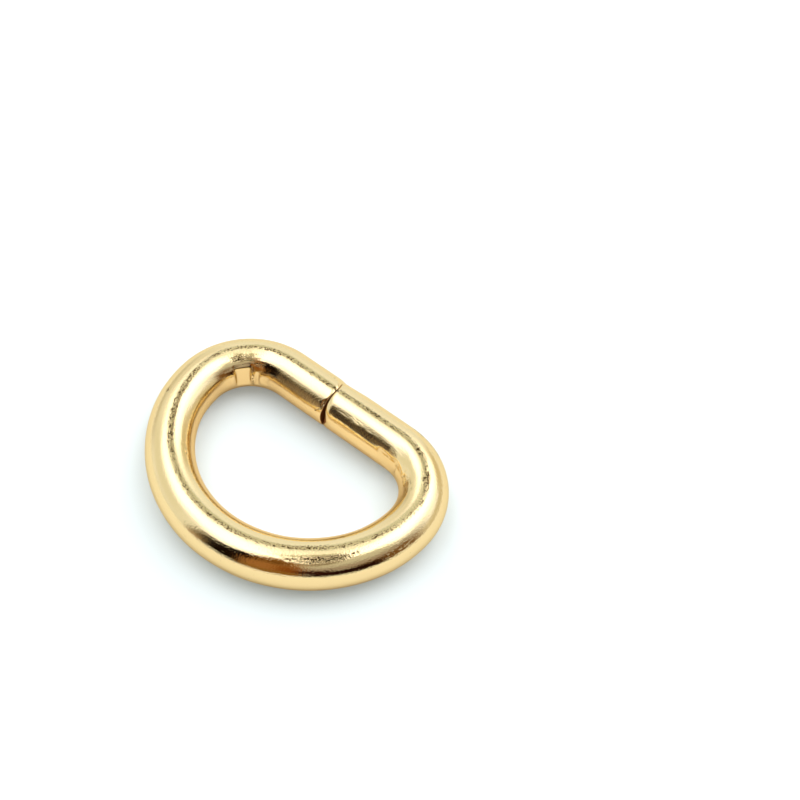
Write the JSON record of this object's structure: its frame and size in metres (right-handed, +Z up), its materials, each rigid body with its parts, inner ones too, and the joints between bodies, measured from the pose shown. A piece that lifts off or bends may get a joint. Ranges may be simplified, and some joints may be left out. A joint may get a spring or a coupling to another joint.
{
  "type": "d ring",
  "caption": "D ring of round wire with an open butt joint in its straight bar, polished light gold plating, for a flat strap.",
  "frame": {"origin": "middle of the footprint, on the surface that the ring lies on", "axes": "+Z up through the lying ring, X along the straight bar, -Y from the bar towards the top of the bow"},
  "size_m": [0.029, 0.0218, 0.0045],
  "materials": {
    "gold_plated_steel": "polished light gold plating on steel wire, with fine drawing lines along the wire"
  },
  "bodies": {
    "root": {"d_ring": "gold_plated_steel"}
  },
  "joints": []
}
